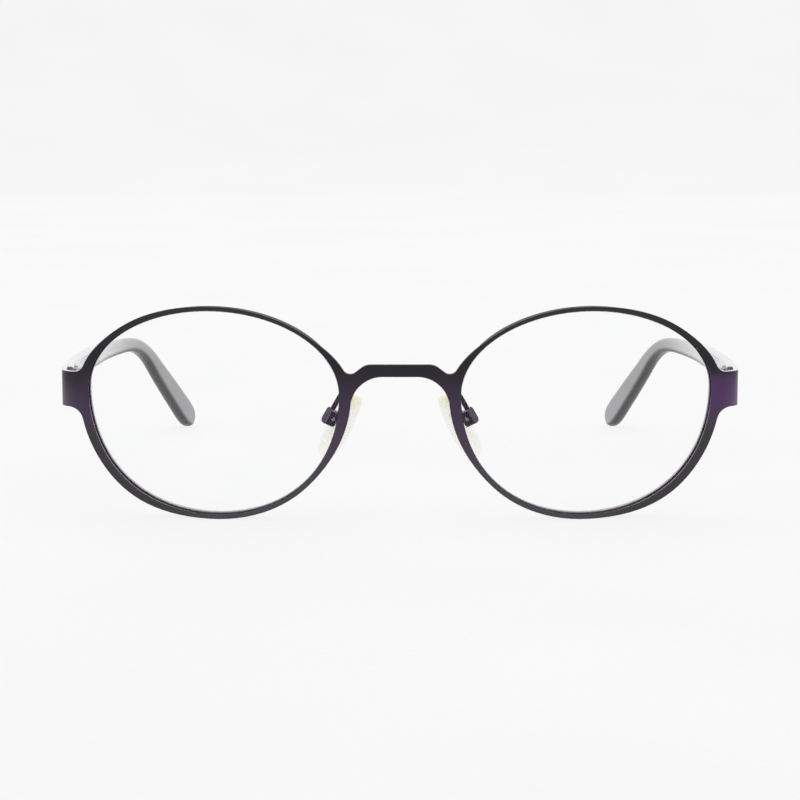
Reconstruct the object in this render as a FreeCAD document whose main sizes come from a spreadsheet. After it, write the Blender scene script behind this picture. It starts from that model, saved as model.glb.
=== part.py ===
import FreeCAD, Part
import math
import os
import Sketcher

# Oval metal eyeglasses, standing open on the two rims and the two temple tips.
# Every piece is drawn in the front's own frame: x to the wearer's left, y back
# towards the ears, z up the front, with the origin on the nose bridge at the
# mid-height of the lenses.  One common placement then stands the pair on z = 0.

Vector = FreeCAD.Vector
Placement = FreeCAD.Placement
Rotation = FreeCAD.Rotation
Z_AXIS = Vector(0, 0, 1)
X_AXIS = Vector(1, 0, 0)

doc = FreeCAD.newDocument("eyeglasses")
sheet = doc.addObject("Spreadsheet::Sheet", "Sizes")

driving_sizes = [
    # Lens and opening
    ("lens_width", 48.8, "width of a lens, boxed"),
    ("lens_height", 39.74, "height of a lens, boxed"),
    ("lens_gap", 22.4, "distance between the two lenses"),
    ("widest_rise", 3.98, "widest level of the oval above its mid-height"),
    ("lower_fullness", 0.024, "how far the lower shoulders stand out, as a share"),
    ("lens_tilt", 0.66, "angle by which the oval rises towards the temple"),
    ("lens_lap", 0.2, "how far the sheet covers the lens edge"),
    ("lens_thickness", 1.3, "thickness of a lens"),
    ("tongue_thickness", 0.6, "thickness of the lens edge in its groove"),
    ("tongue_height", 0.5, "how far the lens edge stands out of the lens"),
    ("groove_clearance", 0.05, "room round the lens edge in its groove"),
    # Width of the sheet round each opening, at eight places
    ("rim_temple", 1.9, "rim width at the temple side"),
    ("rim_upper_outer", 1.05, "rim width above the temple side"),
    ("rim_top", 0.74, "rim width at the top"),
    ("rim_upper_inner", 0.62, "rim width above the nose side"),
    ("rim_nose", 2.1, "rim width at the nose side"),
    ("rim_lower_inner", 0.7, "rim width below the nose side"),
    ("rim_bottom", 0.85, "rim width at the bottom"),
    ("rim_lower_outer", 1.58, "rim width below the temple side"),
    # Formed front sheet
    ("sheet_thickness", 0.9, "thickness of the front sheet"),
    ("front_curve", 250.0, "radius of the front, seen from above"),
    ("wall_turn", 0.25, "how far the rim's walls turn square to the curve, as a share"),
    ("side_reach", 5.25, "from the edge of a lens out to the side bend"),
    ("side_bend", 3.4, "outer radius of the side bend"),
    ("arm_flare", 6.0, "angle by which the side arms spread"),
    ("arm_end", 20.6, "depth at which the side arm ends"),
    ("arm_slope", 3.15, "angle by which arm and temple fall from the front"),
    ("arm_end_height", 6.0, "height of the side arm at its end"),
    ("endpiece_height", 6.84, "height of the side bend"),
    ("endpiece_level", 3.83, "level of the side bend's middle"),
    ("endpiece_upper_fillet", 1.9, "blend from the rim to the top of the side bend"),
    ("endpiece_lower_fillet", 2.9, "blend from the rim to its underside"),
    # Bridge
    ("bridge_top", 9.66, "level of the bridge's upper edge"),
    ("bridge_height", 2.3, "height of the bridge bar"),
    ("bridge_flat", 13.0, "length of the bridge's flat upper edge"),
    ("bridge_fall", 37.0, "angle of the shoulder that falls to the rim"),
    ("bridge_corner", 2.8, "radius of the shoulder's corner"),
    ("bridge_valley", 1.5, "radius of the valley between bridge and rim"),
    ("arch_flat", 6.6, "length of the flat under the bridge"),
    ("arch_foot", 186.0, "angle round the rim at which the arch ends"),
    # Eyewire
    ("eyewire_depth", 2.3, "depth of the grooved rim wire behind the sheet"),
    ("eyewire_lip", 0.2, "how far the rim wire shows inside the opening"),
    ("eyewire_wall", 0.72, "thickness of the rim wire, radially"),
    ("groove_front_wall", 0.6, "rim wire in front of the groove"),
    ("eyewire_slit", 0.12, "slit where the rim wire opens"),
    # Closing blocks and screw
    ("block_width", 2.7, "width of a closing block beside the rim wire"),
    ("block_depth", 2.5, "depth of a closing block"),
    ("block_height", 2.5, "height of a closing block"),
    ("closing_bore", 1.1, "bore through the closing blocks"),
    ("closing_shank", 1.0, "shank of the closing screw"),
    ("closing_head", 1.8, "head of the closing screw"),
    ("closing_head_height", 0.5, "height of that head"),
    # Hinge
    ("hinge_inset", 3.3, "hinge axis inside the arm's outer face"),
    ("hinge_setback", 1.2, "hinge axis behind the arm's end"),
    ("knuckle_diameter", 2.2, "diameter of the hinge knuckles"),
    ("knuckle_height", 1.35, "height of one knuckle"),
    ("knuckle_play", 0.05, "gap between two knuckles"),
    ("leaf_play", 0.1, "gap from a leaf to the other half's parts"),
    ("leaf_thickness", 0.8, "thickness of a hinge leaf"),
    ("leaf_length", 5.2, "length of a hinge leaf"),
    ("hinge_shank", 1.2, "shank of the hinge screw"),
    ("hinge_head", 2.0, "head of the hinge screw"),
    ("hinge_head_height", 0.45, "height of that head"),
    ("hinge_clearance", 0.05, "room round the shank, radially"),
    ("hinge_slot_turn", 35.0, "how the driver slot of the hinge screw points"),
    ("slot_width", 0.3, "driver slot in every screw head"),
    ("slot_depth", 0.25, "depth of that slot"),
    # Temple
    ("butt_gap", 0.08, "gap between the arm and the temple"),
    ("bar_thickness", 2.0, "thickness of the metal temple bar"),
    ("bar_end_height", 4.6, "height of the bar where the sleeve starts"),
    ("bar_edge", 0.45, "rounding of the bar's edges"),
    ("bow_radius", 330.0, "radius of the temple's outward bow"),
    ("temple_straight", 17.0, "straight length after the bow"),
    ("inward_radius", 140.0, "radius of the inward curve over the ear"),
    ("inward_angle", 22.0, "angle by which the tips turn inwards"),
    ("bar_length", 50.0, "length of the metal bar ahead of the sleeve"),
    ("bend_distance", 87.0, "distance from the arm to the ear bend"),
    ("ear_radius", 22.0, "radius of the ear bend"),
    ("ear_drop", 42.7, "angle of the tip below the front's own axis"),
    ("tip_run", 26.0, "length of the tip past the ear bend"),
    ("tip_closing", 4.4, "length over which the tip rounds off"),
    ("sleeve_thickness", 2.9, "thickness of the plastic sleeve"),
    ("sleeve_height", 4.7, "height of the sleeve at its front end"),
    ("bend_height", 3.2, "height of the sleeve at the ear bend"),
    ("paddle_height", 5.7, "height of the sleeve at its broad tip"),
    ("sleeve_edge", 1.3, "rounding of the sleeve's edges"),
    ("core_diameter", 1.4, "wire core inside the sleeve"),
    ("core_clearance", 0.05, "room round the core, radially"),
    ("core_inset", 8.0, "core ends this far before the sleeve's tip"),
    # Nose pads
    ("pad_offset", 13.3, "pad box from the middle of the nose"),
    ("pad_depth", 8.7, "pad box behind the bridge"),
    ("pad_level", -1.65, "pad box below the mid-height"),
    ("pad_tilt", 29.4, "lean of the pad, seen from the front"),
    ("pad_splay", 24.0, "turn of the pad, seen from above"),
    ("box_width", 2.6, "pad box, front to back"),
    ("box_height", 3.2, "pad box, top to bottom"),
    ("box_depth", 2.0, "pad box, towards the nose"),
    ("box_wall", 0.3, "wall of the pad box"),
    ("box_edge", 0.85, "rounding of the pad box"),
    ("boss_width", 1.9, "boss of the pad insert, front to back"),
    ("boss_height", 1.6, "boss of the pad insert, top to bottom"),
    ("boss_floor_gap", 0.15, "gap between the boss and the box floor"),
    ("insert_width", 3.4, "insert plate inside the pad, front to back"),
    ("insert_height", 6.4, "insert plate inside the pad, top to bottom"),
    ("insert_thickness", 0.6, "thickness of the insert plate"),
    ("insert_cover", 0.7, "pad material behind the insert plate"),
    ("pad_gap", 0.45, "gap between the pad and its box"),
    ("pad_length", 13.6, "length of a nose pad"),
    ("pad_width", 6.9, "width of a nose pad"),
    ("pad_thickness", 2.6, "thickness of a nose pad"),
    ("pad_drop", 0.9, "middle of the pad below the box"),
    ("pad_taper", 0.16, "how much broader the pad is below, as a share"),
    ("pad_edge", 1.1, "rounding of the pad's edge"),
    ("pad_shank", 0.7, "shank of the pad screw"),
    ("pad_head", 1.2, "head of the pad screw"),
    ("pad_head_height", 0.35, "height of that head"),
    ("pad_clearance", 0.04, "room round the pad screw, radially"),
    ("wire_diameter", 1.0, "wire of the pad arm"),
    ("wire_offset", 0.5, "arm beside the middle of the pad box"),
    ("wire_seat", 0.3, "arm let into the back of the rim wire"),
    ("wire_bend", 1.5, "bend radius of the pad arm"),
    ("wire_rise", 3.4, "straight rise of the arm above the pad box"),
]

for row, (name, value, note) in enumerate(driving_sizes, start=1):
    sheet.set("A%d" % row, name)
    sheet.set("B%d" % row, str(value))
    sheet.set("C%d" % row, note)
    sheet.setAlias("B%d" % row, name)
doc.recompute()


def size(name):
    return float(getattr(sheet, name))


def radians(name):
    return math.radians(size(name))


# Outline of the lens


OUTLINE_STEPS = 48
FORMING_FRONT = -1.5
FORMING_BACK = 24.0
PAD_STEPS = 16
lens_centre = (size("lens_gap") + size("lens_width")) / 2
half_front = lens_centre + size("lens_width") / 2 + size("side_reach")
rim_places = ["rim_temple", "rim_upper_outer", "rim_top", "rim_upper_inner",
              "rim_nose", "rim_lower_inner", "rim_bottom", "rim_lower_outer"]


def oval_point(turn):
    # An egg: two half ellipses of unlike height that meet at the widest level,
    # sheared so that it rises a little towards the temple.
    upper = math.sin(turn) >= 0
    rise = size("widest_rise")
    half_height = size("lens_height") / 2 + (-rise if upper else rise)
    fullness = 0.0 if upper else size("lower_fullness")
    stretch = 1 + fullness * math.sin(2 * turn) ** 2
    across = size("lens_width") / 2 * math.cos(turn) * stretch
    up = rise + half_height * math.sin(turn) * stretch + across * math.tan(radians("lens_tilt"))
    return lens_centre + across, up


def oval_normal(turn):
    step = 1e-4
    ahead = oval_point(turn + step)
    behind = oval_point(turn - step)
    run = ahead[0] - behind[0]
    climb = ahead[1] - behind[1]
    length = math.hypot(run, climb)
    return climb / length, -run / length


def rim_width(turn):
    # Eases from one of the eight stated widths to the next.
    share = turn / (2 * math.pi) * len(rim_places)
    place = int(share) % len(rim_places)
    following = (place + 1) % len(rim_places)
    ease = (1 - math.cos(math.pi * (share - int(share)))) / 2
    here = size(rim_places[place])
    return here + (size(rim_places[following]) - here) * ease


def oval_offset(turn, grow):
    across, up = oval_point(turn)
    normal = oval_normal(turn)
    return across + normal[0] * grow, up + normal[1] * grow


def front_depth(across):
    radius = size("front_curve")
    return radius - math.sqrt(radius ** 2 - across ** 2)


def wall_point(across, up, depth):
    # Where a wall that starts on the curved front meets the plane at this depth.
    slope = size("wall_turn") * across / (size("front_curve") - front_depth(across))
    return Vector(across - (depth - front_depth(across)) * slope, depth, up)


def wall_prism(label, outline):
    # A solid whose walls run back from the curved front.
    wires = []
    for depth in (FORMING_FRONT, FORMING_BACK):
        curve = Part.BSplineCurve()
        curve.interpolate(Points=[wall_point(a, u, depth) for a, u in outline], PeriodicFlag=True)
        wires.append(Part.Wire(curve.toShape()))
    prism = doc.addObject("Part::Feature", label)
    prism.Shape = Part.makeLoft(wires, True, True)
    return prism


def oval_prism(label, grow):
    # grow is a number, or a function of the turn
    outline = []
    for step in range(OUTLINE_STEPS):
        turn = 2 * math.pi * step / OUTLINE_STEPS
        amount = grow(turn) if callable(grow) else grow
        outline.append(oval_offset(turn, amount))
    return wall_prism(label, outline)


# Document helpers


def combine(kind, label, shapes):
    joined = doc.addObject("Part::" + kind, label)
    joined.Shapes = shapes
    return joined


def cut(label, base, tool):
    difference = doc.addObject("Part::Cut", label)
    difference.Base = base
    difference.Tool = tool
    return difference


def mirrored(label, source):
    twin = doc.addObject("Part::Mirroring", label)
    twin.Source = source
    twin.Base = Vector(0, 0, 0)
    twin.Normal = X_AXIS
    return twin


def extruded(label, wire, direction, reach):
    # A flat closed wire, pushed from one reach to the other along a direction.
    profile = doc.addObject("Part::Feature", label + "_profile")
    profile.Shape = Part.Face(wire)
    solid = doc.addObject("Part::Extrusion", label)
    solid.Base = profile
    solid.DirMode = "Custom"
    solid.Dir = direction
    solid.LengthFwd = reach[1]
    solid.LengthRev = -reach[0]
    solid.Solid = True
    return solid


def shell(label, outer_depth, inner_depth):
    # The space between two depths behind the curved front.
    parts = []
    for name, depth in (("outer", outer_depth), ("inner", inner_depth)):
        drum = doc.addObject("Part::Cylinder", label + "_" + name)
        drum.setExpression("Radius", "Sizes.front_curve - (%s)" % depth)
        drum.setExpression("Height", "2 * Sizes.lens_height")
        drum.setExpression("Placement.Base.y", "Sizes.front_curve")
        drum.setExpression("Placement.Base.z", "-Sizes.lens_height")
        parts.append(drum)
    return cut(label, parts[0], parts[1])


def origin_plane(body, role):
    return next(item for item in body.Origin.OriginFeatures if item.Role == role)


def sketch_on(body, label, role, lift="0"):
    sketch = body.newObject("Sketcher::SketchObject", label)
    sketch.AttachmentSupport = [(origin_plane(body, role), "")]
    sketch.MapMode = "FlatFace"
    sketch.setExpression("AttachmentOffset.Base.z", lift)
    return sketch


def pin_point(sketch, piece, end, start_place, place):
    # Ties one point of the sketch to two expressions, measured from its origin.
    for kind, start_value, text in zip(("DistanceX", "DistanceY"), start_place, place):
        rule = Sketcher.Constraint(kind, -1, 1, piece, end, start_value)
        number = sketch.addConstraint(rule)
        sketch.setExpression("Constraints[%d]" % number, text)


def draw_outline(sketch, corners):
    first = sketch.GeometryCount
    count = len(corners)
    start = [(math.cos(2 * math.pi * i / count), math.sin(2 * math.pi * i / count))
             for i in range(count)]
    for i in range(count):
        here = start[i]
        there = start[(i + 1) % count]
        sketch.addGeometry(Part.LineSegment(Vector(*here, 0), Vector(*there, 0)))
    for i in range(count):
        joint = Sketcher.Constraint("Coincident", first + i, 2, first + (i + 1) % count, 1)
        sketch.addConstraint(joint)
    for i, place in enumerate(corners):
        pin_point(sketch, first + i, 1, start[i], place)


def draw_circle(sketch, place, diameter):
    piece = sketch.addGeometry(Part.Circle(Vector(0.5, 0.5, 0), Z_AXIS, 1.0))
    pin_point(sketch, piece, 3, (0.5, 0.5), place)
    number = sketch.addConstraint(Sketcher.Constraint("Diameter", piece, 2.0))
    sketch.setExpression("Constraints[%d]" % number, diameter)


def draw_box(sketch, low_x, low_y, high_x, high_y):
    draw_outline(sketch, [(low_x, low_y), (high_x, low_y), (high_x, high_y), (low_x, high_y)])


def padded(body, label, sketch, length):
    feature = body.newObject("PartDesign::Pad", label)
    feature.Profile = sketch
    feature.setExpression("Length", length)
    body.Tip = feature
    return feature


def pocketed(body, label, sketch, length):
    feature = body.newObject("PartDesign::Pocket", label)
    feature.Profile = sketch
    feature.setExpression("Length", length)
    body.Tip = feature
    return feature


def slotted_screw(label, head, head_height, shank, length):
    # Turned about z, with the head above z = 0 and the shank below.
    body = doc.addObject("PartDesign::Body", label)
    profile = sketch_on(body, label + "_profile", "XZ_Plane")
    draw_outline(profile, [
        ("0", "-(%s)" % length),
        ("(%s) / 2" % shank, "-(%s)" % length),
        ("(%s) / 2" % shank, "0"),
        ("(%s) / 2" % head, "0"),
        ("(%s) / 2" % head, head_height),
        ("0", head_height),
    ])
    turned = body.newObject("PartDesign::Revolution", label + "_turned")
    turned.Profile = profile
    turned.ReferenceAxis = (profile, ["V_Axis"])
    turned.Angle = 360
    body.Tip = turned
    slot = sketch_on(body, label + "_slot", "XY_Plane", head_height)
    draw_box(slot, "-(%s)" % head, "-Sizes.slot_width / 2", head, "Sizes.slot_width / 2")
    pocketed(body, label + "_driver", slot, "Sizes.slot_depth")
    return body


# Formed front sheet


flare = radians("arm_flare")
slope = radians("arm_slope")
thickness = size("sheet_thickness")
bend_centre_x = half_front - size("side_bend") * math.cos(flare)
bend_reach = size("front_curve") - size("side_bend")
bend_centre_y = size("front_curve") - math.sqrt(bend_reach ** 2 - bend_centre_x ** 2)
bend_turn = math.asin(bend_centre_x / bend_reach)
arm_start = Vector(bend_centre_x + size("side_bend") * math.cos(flare),
                   bend_centre_y - size("side_bend") * math.sin(flare), 0)


def arm_outer(depth):
    # Across position of the side arm's outer face at this depth.
    return arm_start.x + (depth - arm_start.y) * math.tan(flare)


def bend_point(radius, angle):
    # angle is measured from +x towards -y
    return Vector(bend_centre_x + radius * math.cos(angle),
                  bend_centre_y - radius * math.sin(angle), 0)


def mirror_point(point):
    return Vector(-point.x, point.y, point.z)


def strip_line(inset):
    # One face of the formed strip seen from above, from arm end to arm end.
    half_turn = (math.pi / 2 - bend_turn + flare) / 2
    radius = size("side_bend") - inset
    end = bend_point(radius, flare)
    reach = (size("arm_end") - end.y + inset * math.sin(flare)) / math.cos(flare)
    tail = end + Vector(math.sin(flare), math.cos(flare), 0) * reach
    top = bend_point(radius, math.pi / 2 - bend_turn)
    middle = bend_point(radius, half_turn)
    edges = [
        Part.LineSegment(tail, end),
        Part.Arc(end, middle, top),
        Part.Arc(top, Vector(0, inset, 0), mirror_point(top)),
        Part.Arc(mirror_point(top), mirror_point(middle), mirror_point(end)),
        Part.LineSegment(mirror_point(end), mirror_point(tail)),
    ]
    return [edge.toShape() for edge in edges], tail


def closed_line(edges, corners):
    # Joins a run of edges and the straight lines through some corners.
    lines = [Part.LineSegment(here, there).toShape() for here, there in zip(corners, corners[1:])]
    return Part.Wire(Part.__sortEdges__(edges + lines))


def sheet_outline():
    outer, outer_tail = strip_line(0.0)
    inner, inner_tail = strip_line(thickness)
    near = [Part.LineSegment(outer_tail, inner_tail).toShape()]
    far = [mirror_point(outer_tail), mirror_point(inner_tail)]
    return closed_line(outer + inner + near, far)


def seat_outline():
    # All that lies in front of the sheet's back.
    inner, tail = strip_line(thickness)
    side = 2 * half_front
    corners = [tail, Vector(side, tail.y, 0), Vector(side, -tail.y, 0),
               Vector(-side, -tail.y, 0), Vector(-side, tail.y, 0), mirror_point(tail)]
    return closed_line(inner, corners)


def arm_level(depth):
    # Middle of the arm and of the temple's start, which fall towards the back.
    return size("endpiece_level") - (depth - arm_start.y) * math.tan(slope)


def side_outline():
    # The front and its arms seen from the side.
    tall = size("lens_height")
    start = arm_start.y
    half_start = size("endpiece_height") / 2
    half_end = size("arm_end_height") / 2
    end = size("arm_end") + thickness
    corners = [
        (FORMING_FRONT, -tall), (start, -tall),
        (start, arm_level(start) - half_start), (end, arm_level(end) - half_end),
        (end, arm_level(end) + half_end), (start, arm_level(start) + half_start),
        (start, tall), (FORMING_FRONT, tall),
    ]
    points = [Vector(0, depth, level) for depth, level in corners]
    return Part.makePolygon(points + points[:1])


def bridge_outline():
    # The left half of the bridge seen from the front, up to the nose-side rim.
    foot_turn = radians("arch_foot")
    foot = oval_offset(foot_turn, rim_width(foot_turn) - size("lens_lap"))
    inside = foot[0] + size("rim_nose") / 2
    top = size("bridge_top")
    under = top - size("bridge_height")
    flat = size("arch_flat") / 2
    corner = size("bridge_flat") / 2
    fall = radians("bridge_fall")
    arch_centre = Vector(flat, 0, foot[1])
    arch_across = foot[0] - flat
    arch_up = under - foot[1]
    quarter = [arch_centre + Vector(arch_across * math.sin(a), 0, arch_up * math.cos(a))
               for a in [math.radians(15 * step) for step in range(7)]]
    arch = Part.BSplineCurve()
    arch.interpolate(Points=quarter, InitialTangent=X_AXIS, FinalTangent=Vector(0, 0, -1))
    trim = size("bridge_corner") * math.tan(fall / 2)
    corner_start = Vector(corner - trim, 0, top)
    corner_end = Vector(corner + trim * math.cos(fall), 0, top - trim * math.sin(fall))
    bow = Vector(corner_start.x, 0, top - size("bridge_corner"))
    corner_middle = bow + Vector(math.sin(fall / 2), 0, math.cos(fall / 2)) * size("bridge_corner")
    drop = (inside - corner_end.x) * math.tan(fall)
    landing = Vector(inside, 0, corner_end.z - drop)
    root = Vector(inside, 0, foot[1])
    crown = Vector(0, 0, top)
    underside = Vector(0, 0, under)
    edges = [
        Part.LineSegment(crown, corner_start).toShape(),
        Part.Arc(corner_start, corner_middle, corner_end).toShape(),
        Part.LineSegment(corner_end, landing).toShape(),
        Part.LineSegment(landing, root).toShape(),
        Part.LineSegment(root, Vector(foot[0], 0, foot[1])).toShape(),
        arch.toShape(),
        Part.LineSegment(arch_centre + Vector(0, 0, arch_up), underside).toShape(),
        Part.LineSegment(underside, crown).toShape(),
    ]
    return Part.Wire(Part.__sortEdges__(edges))


def corner_edge(shape, place):
    # The edge nearest to a place that runs through the blank from front to back.
    best = None
    for number, edge in enumerate(shape.Edges, start=1):
        front = min([vertex.Point for vertex in edge.Vertexes], key=lambda point: point.y)
        gap = math.hypot(front.x - place[0], front.z - place[1])
        if edge.BoundBox.YLength > size("arm_end") and (best is None or gap < best[0]):
            best = (gap, number)
    return best[1]


def endpiece_blank():
    block = doc.addObject("Part::Box", "endpiece_blank")
    block.Width = FORMING_BACK - FORMING_FRONT
    block.Placement.Base = Vector(lens_centre, FORMING_FRONT, 0)
    block.setExpression("Length", "Sizes.lens_width")
    block.setExpression("Height", "Sizes.endpiece_height")
    block.setExpression("Placement.Base.z", "Sizes.endpiece_level - Sizes.endpiece_height / 2")
    return block


def rim_edge_place(degrees, level=None):
    # Where the rim's outer wall meets the front of its blank.
    turn = math.radians(degrees)
    across, up = oval_offset(turn, rim_width(turn))
    front = wall_point(across, up, FORMING_FRONT)
    return front.x, up if level is None else level


def make_front():
    lap = size("lens_lap")
    rim = oval_prism("rim_blank", lambda turn: rim_width(turn) - lap)
    bridge = extruded("bridge_blank", bridge_outline(), Vector(0, 1, 0), (FORMING_FRONT, FORMING_BACK))
    blank = combine("MultiFuse", "front_blank", [rim, endpiece_blank(), bridge])
    doc.recompute()

    top_edge = size("endpiece_level") + size("endpiece_height") / 2
    # Each corner lies near a place that is known by its angle round the rim.
    corners = [
        (rim_edge_place(11, top_edge), "endpiece_upper_fillet"),
        (rim_edge_place(-8, top_edge - size("endpiece_height")), "endpiece_lower_fillet"),
        (rim_edge_place(168), "bridge_valley"),
    ]
    rounded = doc.addObject("Part::Fillet", "front_rounded")
    rounded.Base = blank
    rounded.Edges = [(corner_edge(blank.Shape, place), size(name), size(name))
                     for place, name in corners]

    tall = size("lens_height")
    strip = extruded("sheet_strip", sheet_outline(), Z_AXIS, (-tall, tall))
    side = extruded("side_limit", side_outline(), X_AXIS, (0, 2 * half_front))
    formed = combine("MultiCommon", "front_formed", [rounded, strip, side])
    half = cut("front_half", formed, oval_prism("opening", -lap))
    plate = combine("MultiFuse", "front_plate", [half, mirrored("front_half_right", half)])
    plate.Refine = True
    return plate


# Rim wire and lens


wall_reach = size("eyewire_wall") - size("eyewire_lip") - size("lens_lap")
closing_wall, closing_level = oval_offset(0.0, wall_reach)


def rim_ring(label, grow_in, grow_out, front_gap, depth):
    # The space between two ovals and between two depths behind the front.
    band = cut(label + "_band", oval_prism(label + "_outside", grow_out),
               oval_prism(label + "_inside", grow_in))
    return combine("MultiCommon", label, [band, shell(label + "_shell", front_gap, depth)])


def make_eyewire():
    lip = -size("lens_lap") - size("eyewire_lip")
    back = "Sizes.sheet_thickness + Sizes.eyewire_depth"
    ring = rim_ring("eyewire_ring", lip, lip + size("eyewire_wall"), "Sizes.sheet_thickness", back)
    groove_front = "Sizes.sheet_thickness + Sizes.groove_front_wall"
    groove_back = groove_front + " + Sizes.tongue_thickness + 2 * Sizes.groove_clearance"
    groove = combine("MultiCommon", "lens_groove", [
        oval_prism("groove_floor", size("groove_clearance")),
        shell("groove_shell", groove_front, groove_back),
    ])
    grooved = cut("eyewire_grooved", ring, groove)
    slit = doc.addObject("Part::Box", "eyewire_slit")
    slit.setExpression("Length", "Sizes.lens_width")
    slit.setExpression("Width", "Sizes.arm_end")
    slit.setExpression("Height", "Sizes.eyewire_slit")
    slit.Placement.Base = Vector(lens_centre, 0, 0)
    slit.Placement.Base.z = closing_level - size("eyewire_slit") / 2
    return ring, cut("eyewire_left", grooved, slit)


def make_lens():
    middle = ("(Sizes.sheet_thickness + Sizes.groove_front_wall + Sizes.groove_clearance"
              " + Sizes.tongue_thickness / 2)")
    disc = combine("MultiCommon", "lens_disc", [
        oval_prism("lens_outline", -size("tongue_height")),
        shell("lens_shell", middle + " - Sizes.lens_thickness / 2",
              middle + " + Sizes.lens_thickness / 2"),
    ])
    tongue = combine("MultiCommon", "lens_tongue", [
        oval_prism("tongue_outline", 0.0),
        shell("tongue_shell", middle + " - Sizes.tongue_thickness / 2",
              middle + " + Sizes.tongue_thickness / 2"),
    ])
    return combine("MultiFuse", "lens_left", [disc, tongue])


# Closing blocks


block_middle = (front_depth(closing_wall) + size("sheet_thickness")
                + size("block_depth") / 2)
closing_axis = Vector(
    wall_point(closing_wall, closing_level, block_middle).x + size("block_width") / 2,
    block_middle, closing_level)


def make_closing_block(label, lift, seat):
    # Seated on the outside of the rim wire and on the back of the sheet.
    body = doc.addObject("PartDesign::Body", label + "_blank")
    plan = sketch_on(body, label + "_plan", "XY_Plane", lift)
    draw_box(plan, "-Sizes.block_width / 2 - Sizes.eyewire_wall",
             "-Sizes.block_depth / 2 - Sizes.sheet_thickness",
             "Sizes.block_width / 2", "Sizes.block_depth / 2")
    draw_circle(plan, ("0", "0"), "Sizes.closing_bore")
    padded(body, label + "_pad", plan, "Sizes.block_height")
    body.Placement = Placement(closing_axis, Rotation())
    return cut(label, body, seat)


def make_closing_screw():
    screw = slotted_screw("closing_screw_left", "Sizes.closing_head", "Sizes.closing_head_height",
                          "Sizes.closing_shank", "2 * Sizes.block_height + Sizes.eyewire_slit")
    top = size("eyewire_slit") / 2 + size("block_height")
    screw.Placement = Placement(closing_axis + Vector(0, 0, top), Rotation())
    return screw


# Hinge, drawn about its own axis with y along the arm


knuckle_step = size("knuckle_height") + size("knuckle_play")
hinge_stack = 3 * size("knuckle_height") + 2 * size("knuckle_play")
arm_corner = Vector(arm_outer(size("arm_end")), size("arm_end"), 0)
along_arm = Vector(math.sin(flare), math.cos(flare), 0)
out_of_arm = Vector(math.cos(flare), -math.sin(flare), 0)
hinge_foot = (arm_corner + along_arm * size("hinge_setback") - out_of_arm * size("hinge_inset")
              + Vector(0, 0, arm_level(size("arm_end")) - hinge_stack / 2))
hinge_place = Placement(hinge_foot, Rotation(Z_AXIS, -size("arm_flare")))
knuckle_radius = "Sizes.knuckle_diameter / 2"


def add_knuckle(body, label, neck, lift):
    web = sketch_on(body, label + "_neck", "XY_Plane", lift)
    draw_outline(web, neck)
    padded(body, label + "_neck_pad", web, "Sizes.knuckle_height")
    barrel = sketch_on(body, label + "_barrel", "XY_Plane", lift)
    draw_circle(barrel, ("0", "0"), "Sizes.knuckle_diameter")
    padded(body, label + "_barrel_pad", barrel, "Sizes.knuckle_height")


def add_leaf_plate(body, label, low, high):
    plate = sketch_on(body, label + "_plate", "XY_Plane")
    draw_box(plate, low[0], low[1], high[0], high[1])
    padded(body, label + "_plate_pad", plate, "3 * Sizes.knuckle_height + 2 * Sizes.knuckle_play")


def drill_hinge(body, label):
    bore = sketch_on(body, label + "_bore", "XY_Plane", "4 * Sizes.knuckle_height")
    draw_circle(bore, ("0", "0"), "Sizes.hinge_shank + 2 * Sizes.hinge_clearance")
    pocketed(body, label + "_drilled", bore, "5 * Sizes.knuckle_height")


def make_front_leaf():
    body = doc.addObject("PartDesign::Body", "hinge_front_leaf_left")
    seat = "(Sizes.hinge_inset - Sizes.sheet_thickness)"
    inner = "(%s - Sizes.leaf_thickness)" % seat
    rear = "-(Sizes.hinge_setback + Sizes.leaf_play)"
    add_leaf_plate(body, "front_leaf", (inner, rear + " - Sizes.leaf_length"), (seat, rear))
    neck = [("0", "0"), ("0", "-" + knuckle_radius),
            (seat, rear + " - 2 * Sizes.leaf_thickness"), (seat, rear),
            (knuckle_radius, rear), (knuckle_radius, "0")]
    add_knuckle(body, "lower_knuckle", neck, "0")
    add_knuckle(body, "upper_knuckle", neck, "2 * (Sizes.knuckle_height + Sizes.knuckle_play)")
    drill_hinge(body, "front_leaf")
    body.Placement = hinge_place
    return body


def make_temple_leaf(blade):
    # Its back follows the bowed inside of the bar.
    body = doc.addObject("PartDesign::Body", "temple_leaf_blank")
    seat = "(Sizes.hinge_inset - Sizes.bar_thickness)"
    inner = "(%s - Sizes.leaf_thickness)" % seat
    front = "(%s + 2 * Sizes.leaf_play)" % knuckle_radius
    add_leaf_plate(body, "temple_leaf", (inner, front), (seat, front + " + Sizes.leaf_length"))
    neck = [("0", "0"), (seat, "0"), (seat, front + " + Sizes.leaf_thickness"),
            (inner, front + " + Sizes.leaf_thickness"), ("0", knuckle_radius)]
    add_knuckle(body, "middle_knuckle", neck, "Sizes.knuckle_height + Sizes.knuckle_play")
    drill_hinge(body, "temple_leaf")
    body.Placement = hinge_place
    return cut("hinge_temple_leaf_left", body, blade)


def make_hinge_screw():
    screw = slotted_screw("hinge_screw_left", "Sizes.hinge_head", "Sizes.hinge_head_height",
                          "Sizes.hinge_shank", "3 * Sizes.knuckle_height + 2 * Sizes.knuckle_play")
    seat = Placement(Vector(0, 0, hinge_stack), Rotation(Z_AXIS, size("hinge_slot_turn")))
    screw.Placement = hinge_place.multiply(seat)
    return screw


# Temple


FULLEST_CORNER = 0.45
TIP_ANGLES = (25, 45, 60, 72, 82, 88)
temple_start = arm_corner + along_arm * size("butt_gap")
inward = radians("inward_angle")
bow_depth = size("bow_radius") * math.sin(flare)
inward_depth = size("inward_radius") * math.sin(inward)
ear_drop = radians("ear_drop")
ear_length = size("ear_radius") * (ear_drop - slope)
temple_length = size("bend_distance") + ear_length + size("tip_run")


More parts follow.
